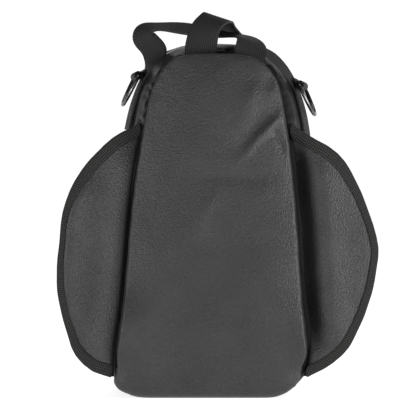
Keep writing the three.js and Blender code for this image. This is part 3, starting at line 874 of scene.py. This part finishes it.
class TANKBAG_OT_shell(Operator):
    """Makes the side walls and the lid"""

    bl_idname = "tank_bag.shell"
    bl_label = "Side walls and lid"

    def execute(self, context):
        slack = context.scene.tank_bag_cloth.slack
        for node, name in (("gusset", "side_walls"), ("lid", "domed_lid")):
            piece = copy_of_node(node, name)
            subdivide(piece, 2)
            self.meet(piece)
            self.dent(piece, slack)
            paint_seam_shade(piece, self.shade(points_of(piece)))
            dress(piece, "coated_wall_cloth", "cloth", "bag", node)
        return {"FINISHED"}

    def meet(self, piece):
        """Brings the rims of the walls and the lid back to the zip and to the seam along the tail."""
        points = points_of(piece)
        from_zip = points[:, 1] - ZIP_DEPTH
        zipped = ease_in(ZIPPED_UP, points[:, 2])
        near = ease_in(RIM_FROM_ZIP, np.abs(from_zip))
        points[:, 1] -= np.sign(from_zip) * near * (RIM_CLOSING + ZIP_CLOSING * zipped)
        move_points(piece, points)

    def dent(self, piece, slack):
        """Presses in the dents, the seam and the gathers, and raises the welt beside the seam."""
        points = points_of(piece)
        x, y, z = points.T
        back = y - SEAM_DEPTH
        normals = normals_of(piece)
        facing = np.sign(np.einsum("ij,ij->i", normals, points - BAG_MIDDLE))
        clear_of_tail = ease_in(DENTS_UP, z)
        from_welt = (back - WELT["back"] * MM) / (WELT["width"] * MM)
        inward = slack * clear_of_tail * self.dents(points)
        inward += STRAP_PRESS * self.press(x, back, z)
        inward += MM * self.seam_pull(x, back, z)
        inward -= WELT["rise"] * MM * clear_of_tail * np.exp(-(from_welt**2))
        inward += GATHERS["depth"] * MM * self.gathers(x, back, z)
        move_points(piece, points - normals * (facing * inward)[:, None])

    def dents(self, points):
        """Soft dents in shares of the slack: none at the seams, little under the straps."""
        y, z = points[:, 1], points[:, 2]
        sharp = (1 - np.abs(self.waves(points, CREASES))) ** CREASE_SHARPNESS
        depth = DENT_LEVEL + BROAD_DENTS["share"] * self.waves(points, BROAD_DENTS) + CREASES["share"] * sharp
        depth *= ease_in(DENTS_FROM_ZIP, np.abs(y - ZIP_DEPTH)) * ease_in(DENTS_BACK, y - SEAM_DEPTH)
        under_strap = np.abs(y - STRAP_BAND["middle_y"] * MM) < STRAP_BAND["half"] * MM
        under_strap &= z > STRAP_BAND["from_z"] * MM
        return depth * np.where(under_strap, STRAP_BAND["share"], 1)

    def waves(self, points, row):
        """Smooth noise at a row's waves in a metre, between -1 and 1."""
        return ripple(*(points * row["waves"] + row["shift"]).T)

    def press(self, x, back, z):
        """Where the right strap presses on the shoulder, from 0 to 1."""
        share = ease_in(PRESS_ACROSS, x) * ease_in(PRESS_UP, z)
        return share * ease_in(PRESS_BACK, back) * ease_in(PRESS_END_BACK, back)

    def shoulder(self, x, z):
        """Where the right shoulder tucks in, from 0 to 1."""
        return ease_in(SHOULDER_ACROSS, x) * ease_in(SHOULDER_UP, z)

    def seam_pull(self, x, back, z):
        """How far the front seam draws the cloth in round the crown, in millimetres."""
        pull = SEAM_PULL["all_round"] + SEAM_PULL["shoulder"] * self.shoulder(x, z)
        return pull * ease_in(PULL_BACK, back) * ease_in(PULL_UP, z)

    def gathers(self, x, back, z):
        """How deep the cloth is gathered along the seam round the shoulders, from 0 to 1."""
        turn = np.arctan2(z - GATHERS["centre_z"] * MM, x)
        waves = ripple(GATHERS["along"] * turn, GATHERS["back"] * back, GATHERS["phase"])
        share = ease_in(GATHERS_UP, z) * ease_in(GATHERS_BACK, back)
        return share * (1 - np.abs(waves)) ** GATHERS["sharpness"]

    def shade(self, points):
        """How much painted shade the walls take near the front seam, from 0 to 1: it reaches farthest back at
        the right shoulder.
        """
        x, y, z = points.T
        end = WALL_SHADE["end"] + WALL_SHADE["shoulder"] * self.shoulder(x, z)
        return ease_in((end, WALL_SHADE["full"]), y - SEAM_DEPTH)


class TANKBAG_OT_zip(Operator):
    """Finishes the zip"""

    bl_idname = "tank_bag.zip"
    bl_label = "Zip"

    def execute(self, context):
        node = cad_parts["zip"]
        node.data.materials.clear()
        node.data.materials.append(bpy.data.materials["coil_zip"])
        return {"FINISHED"}


class TANKBAG_OT_wings(Operator):
    """Makes the two padded wings"""

    bl_idname = "tank_bag.wings"
    bl_label = "Wings"

    def execute(self, context):
        size = context.scene.tank_bag_cloth
        for hand in HANDS:
            shape = WingShape(hand)
            piece = copy_of_node(f"wing_{hand}", f"padded_wing_{hand}")
            subdivide(piece, 2)
            points = points_of(piece)
            x, z = points[:, 0], points[:, 2]
            x[:] = shape.spread(x, z)
            move_points(piece, points)
            held = (shape.share(x, z) < HELD_SHARE) | (np.abs(shape.edge_at(z) - x) < HELD_EDGE)
            swell(piece, size.wing_pressure, size.frames, held, size.wing_swell)
            points = points_of(piece)
            x, y, z = points.T
            y += shape.sway(x, z) + shape.roll(x, z, size.wing_curl)
            move_points(piece, points)
            # Painted shade along the wing's seam.
            paint_seam_shade(piece, ease_in(WING_SHADE_OUT, np.abs(x - shape.seam_at(z))))
            dress(piece, "coated_wing_cloth", "cloth", "bag", f"wing_{hand}")
        return {"FINISHED"}


class TANKBAG_OT_bindings(Operator):
    """Folds tape over the wings' edges"""

    bl_idname = "tank_bag.bindings"
    bl_label = "Wing bindings"

    def execute(self, context):
        for hand in HANDS:
            self.binding(context, hand)
        return {"FINISHED"}

    def binding(self, context, hand):
        tape = context.scene.tank_bag_tape
        curl = context.scene.tank_bag_cloth.wing_curl
        shape = WingShape(hand)
        x, z, out_x, out_z, run = shape.edge(BINDING_STEPS)
        rows = self.profile(tape, column(BINDING_FACE, hand, z))
        piece, across, along = flat_grid(f"edge_binding_{hand}", len(rows) - 1, BINDING_STEPS - 1)
        placed = np.empty((len(across), 3))
        for k, (past, offset) in enumerate(rows):
            row_x = x + out_x * past
            row_z = z + out_z * past
            seam = shape.seam_at(row_z) + shape.side * SEAM_CLEARANCE
            row_x = shape.side * np.maximum(shape.side * row_x, shape.side * seam)
            depth = shape.depth(row_x, row_z) + offset
            depth += shape.sway(row_x, row_z) + shape.roll(row_x, row_z, curl)
            mine = across == k
            placed[mine] = np.column_stack([row_x, depth, row_z])[along[mine]]
        move_points(piece, placed)
        map_tape(piece, across * BINDING_ROW, run[along])
        self.face_out(piece, shape.side)
        apply_modifier(piece, "SOLIDIFY", thickness=tape.binding_thickness, offset=-1, use_even_offset=True)
        subdivide(piece, 1)
        dress(piece, "ribbed_binding", "binding_tape", "bag", f"wing_binding_{hand}")

    def profile(self, tape, face):
        """The tape's rows from front to back: how far past the edge each lies, and how deep."""
        half = HALF_WING + tape.binding_thickness
        front = [(-share * face, -half) for share in BINDING_SHARES]
        fold = [(tape.binding_reach * math.cos(turn), half * math.sin(turn)) for turn in BINDING_TURNS]
        back = [(-share * tape.binding_back, half) for share in reversed(BINDING_SHARES)]
        return front + fold + back

    def face_out(self, piece, side):
        """Turns the tape's faces outwards, judged at the fold."""
        outermost = int(np.argmax(points_of(piece)[:, 0] * side))
        if normals_of(piece)[outermost, 0] * side < 0:
            pick(piece)
            bpy.ops.object.mode_set(mode="EDIT")
            bpy.ops.mesh.select_all(action="SELECT")
            bpy.ops.mesh.flip_normals()
            bpy.ops.object.mode_set(mode="OBJECT")


class TANKBAG_OT_straps(Operator):
    """Makes the two crossing carry straps"""

    bl_idname = "tank_bag.straps"
    bl_label = "Carry straps"

    def execute(self, context):
        tape = context.scene.tank_bag_tape
        for hand in HANDS:
            sections = self.lean(hand, sections_of(f"carry_strap_{hand}", from_top=False))
            name = f"webbing_strap_{hand}"
            piece = ribbon(name, sections, tape.webbing_width, tape.webbing_thickness, STRAP_EASE)
            dress(piece, "ribbed_webbing", "webbing", "bag", f"carry_strap_{hand}")
        return {"FINISHED"}

    def lean(self, hand, sections):
        """Lays the strap over at its side wall, and tucks its far end into the crown seam."""
        row = STRAP_LEANS[hand]
        shift, turn, tuck, seam = (np.array(row[name]) for name in ("shift", "turn", "tuck", "seam"))
        leant = []
        for middle, across in sections:
            near = 1 if across[1] < 0 else -1
            share = ease_in(row["lean_up"], middle[2]) * ease_in(row["ease_up"], middle[2])
            share *= ease_in(STRAP_ACROSS, SIDES[hand] * middle[0])
            turned = across + near * share * turn
            leant.append((middle + share * MM * shift, turned / np.linalg.norm(turned)))
        middle, across = leant[-1]
        sewn = np.sign(seam @ across) * seam / np.linalg.norm(seam)
        leant.append((middle + MM * tuck, sewn))
        return leant


class TANKBAG_OT_ring_tabs(Operator):
    """Makes the webbing loops that hold the D rings"""

    bl_idname = "tank_bag.ring_tabs"
    bl_label = "Ring tabs"

    def execute(self, context):
        tape = context.scene.tank_bag_tape
        for hand in HANDS:
            sections = self.close(sections_of(f"ring_tab_{hand}", from_top=True))
            piece = ribbon(f"webbing_tab_{hand}", sections, tape.tab_width, tape.webbing_thickness)
            dress(piece, "ribbed_webbing", "webbing", "bag", f"ring_tab_{hand}")
        return {"FINISHED"}

    def close(self, sections):
        """Carries the loop on round the ring's bar until it meets its own foot."""
        across = sections[-1][1]
        first, middle, last = (sections[i][0] for i in TAB_BEND)
        chord_a = middle - first
        chord_b = last - middle
        reaches = [chord_a @ (first + middle) / 2, chord_b @ (middle + last) / 2, across @ last]
        centre = np.linalg.solve(np.array([chord_a, chord_b, across]), reaches)
        arm = last - centre
        sense = np.sign(np.cross(sections[-2][0] - centre, arm) @ across)
        for turn in TAB_TURNS:
            swung = arm * math.cos(turn) + np.cross(across, arm) * math.sin(sense * turn)
            sections.append((centre + swung, across))
        return sections


class TANKBAG_OT_d_rings(Operator):
    """Makes the two D rings of round wire"""

    bl_idname = "tank_bag.d_rings"
    bl_label = "D rings"

    def execute(self, context):
        for hand in HANDS:
            piece = copy_of_node(f"d_ring_{hand}", f"wire_ring_{hand}")
            subdivide(piece, 2)
            apply_modifier(piece, "DISPLACE", strength=WIRE_FILL, mid_level=0)
            dress(piece, "plated_wire", "ring_steel", f"ring_{hand}", f"d_ring_{hand}")
        return {"FINISHED"}


class TANKBAG_OT_finishes(Operator):
    """Makes the finishes that the pieces share"""

    bl_idname = "tank_bag.finishes"
    bl_label = "Finishes"

    def execute(self, context):
        colours = context.scene.tank_bag_colours
        coated_cloth("coated_cloth", colours.cloth, CLOTH_SHINE)
        # The side walls' cloth is a darker copy, as painted shade.
        coated_cloth("coated_wall_cloth", colours.wall, WALL_SHINE)
        # The wings' cloth is a lighter copy, as painted light.
        coated_cloth("coated_wing_cloth", colours.wing, CLOTH_SHINE)
        ribbed_tape("ribbed_webbing", colours.webbing, rib=1.9 * MM, thread=1.5 * MM, along=True)
        ribbed_tape("ribbed_binding", colours.binding, rib=2.2 * MM, thread=1.6 * MM, along=False)
        plated_wire(colours.wire)
        coil_zip(colours.zip_coil)
        pale_floor(colours.floor)
        return {"FINISHED"}


class TANKBAG_OT_stage(Operator):
    """Sets up the floor, the lights and the camera"""

    bl_idname = "tank_bag.stage"
    bl_label = "Stage"

    def execute(self, context):
        stage = context.scene.tank_bag_stage
        self.floor()
        self.lights(stage)
        self.surround(context, stage)
        self.camera(context, stage)
        return {"FINISHED"}

    def floor(self):
        bpy.ops.mesh.primitive_plane_add(size=FLOOR_SIZE)
        floor = bpy.context.object
        floor.name = "floor"
        floor.data.materials.append(bpy.data.materials["pale_floor"])

    def lights(self, stage):
        """A weak light from above, and soft lights that rake the front from both sides."""
        for row in LIGHTS:
            bpy.ops.object.light_add(type=row["kind"], location=row["place"])
            light = bpy.context.object
            light.name = f"{row['name']}_light"
            light.data.energy = getattr(stage, row["name"])
            for name, value in row["softness"].items():
                setattr(light.data, name, value)
            light.rotation_euler = (LIGHT_AIM - light.location).to_track_quat("-Z", "Y").to_euler()

    def surround(self, context, stage):
        """A white surround that lights the bag from behind more than from the front."""
        world = bpy.data.worlds.new("white_surround")
        world.use_nodes = True
        tree = world.node_tree
        surround = tree.nodes["Background"]
        surround.inputs["Color"].default_value = WHITE
        way = add_node(tree, "ShaderNodeTexCoord").outputs["Generated"]
        ahead = add_node(tree, "ShaderNodeSeparateXYZ", {"Vector": way}).outputs["Y"]
        levels = {"To Min": stage.room, "To Max": stage.backdrop}
        span = {"Value": ahead, "From Min": 0.5, "From Max": 0.9, **levels}
        lit = add_node(tree, "ShaderNodeMapRange", span, interpolation_type="SMOOTHSTEP").outputs["Result"]
        seen = add_node(tree, "ShaderNodeLightPath").outputs["Is Camera Ray"]
        span = {"Value": seen, "To Min": lit, "To Max": stage.backdrop}
        bright = add_node(tree, "ShaderNodeMapRange", span).outputs["Result"]
        tree.links.new(bright, surround.inputs["Strength"])
        context.scene.world = world
        context.scene.view_settings.view_transform = "Standard"

    def camera(self, context, stage):
        """The picture's camera, square to the seam."""
        place = (stage.aside, SEAM_DEPTH - stage.distance, stage.height)
        bpy.ops.object.camera_add(location=place, rotation=(math.radians(90), 0, 0))
        camera = bpy.context.object
        camera.name = "photo_camera"
        camera.data.sensor_width = SENSOR_WIDTH
        camera.data.lens = SENSOR_WIDTH * stage.distance / (PICTURE_SIDE * PIXEL)
        camera.data.dof.use_dof = False
        context.scene.camera = camera


OPERATORS = [
    TANKBAG_OT_finishes,
    TANKBAG_OT_stage,
    TANKBAG_OT_base_panel,
    TANKBAG_OT_shell,
    TANKBAG_OT_zip,
    TANKBAG_OT_wings,
    TANKBAG_OT_bindings,
    TANKBAG_OT_straps,
    TANKBAG_OT_ring_tabs,
    TANKBAG_OT_d_rings,
]
SETTINGS = {
    "tank_bag_cloth": TankBagCloth,
    "tank_bag_tape": TankBagTape,
    "tank_bag_colours": TankBagColours,
    "tank_bag_stage": TankBagStage,
}


class TANKBAG_PT_sidebar(Panel):
    """Lists the pieces and their settings"""

    bl_idname = "TANKBAG_PT_sidebar"
    bl_label = "Tank Bag"
    bl_space_type = "VIEW_3D"
    bl_region_type = "UI"
    bl_category = "Tank Bag"

    def draw(self, context):
        for operator in OPERATORS:
            self.layout.operator(operator.bl_idname)
        for name, group in SETTINGS.items():
            box = self.layout.box()
            for prop in group.__annotations__:
                box.prop(getattr(context.scene, name), prop)


def register():
    for group in SETTINGS.values():
        bpy.utils.register_class(group)
    for name, group in SETTINGS.items():
        setattr(bpy.types.Scene, name, PointerProperty(type=group))
    for made in [*OPERATORS, TANKBAG_PT_sidebar]:
        bpy.utils.register_class(made)


def unregister():
    for made in [TANKBAG_PT_sidebar, *reversed(OPERATORS)]:
        bpy.utils.unregister_class(made)
    for name in SETTINGS:
        delattr(bpy.types.Scene, name)
    for group in SETTINGS.values():
        bpy.utils.unregister_class(group)


def main():
    register()
    for operator in OPERATORS:
        group, name = operator.bl_idname.split(".")
        getattr(getattr(bpy.ops, group), name)()


if __name__ == "__main__":
    main()
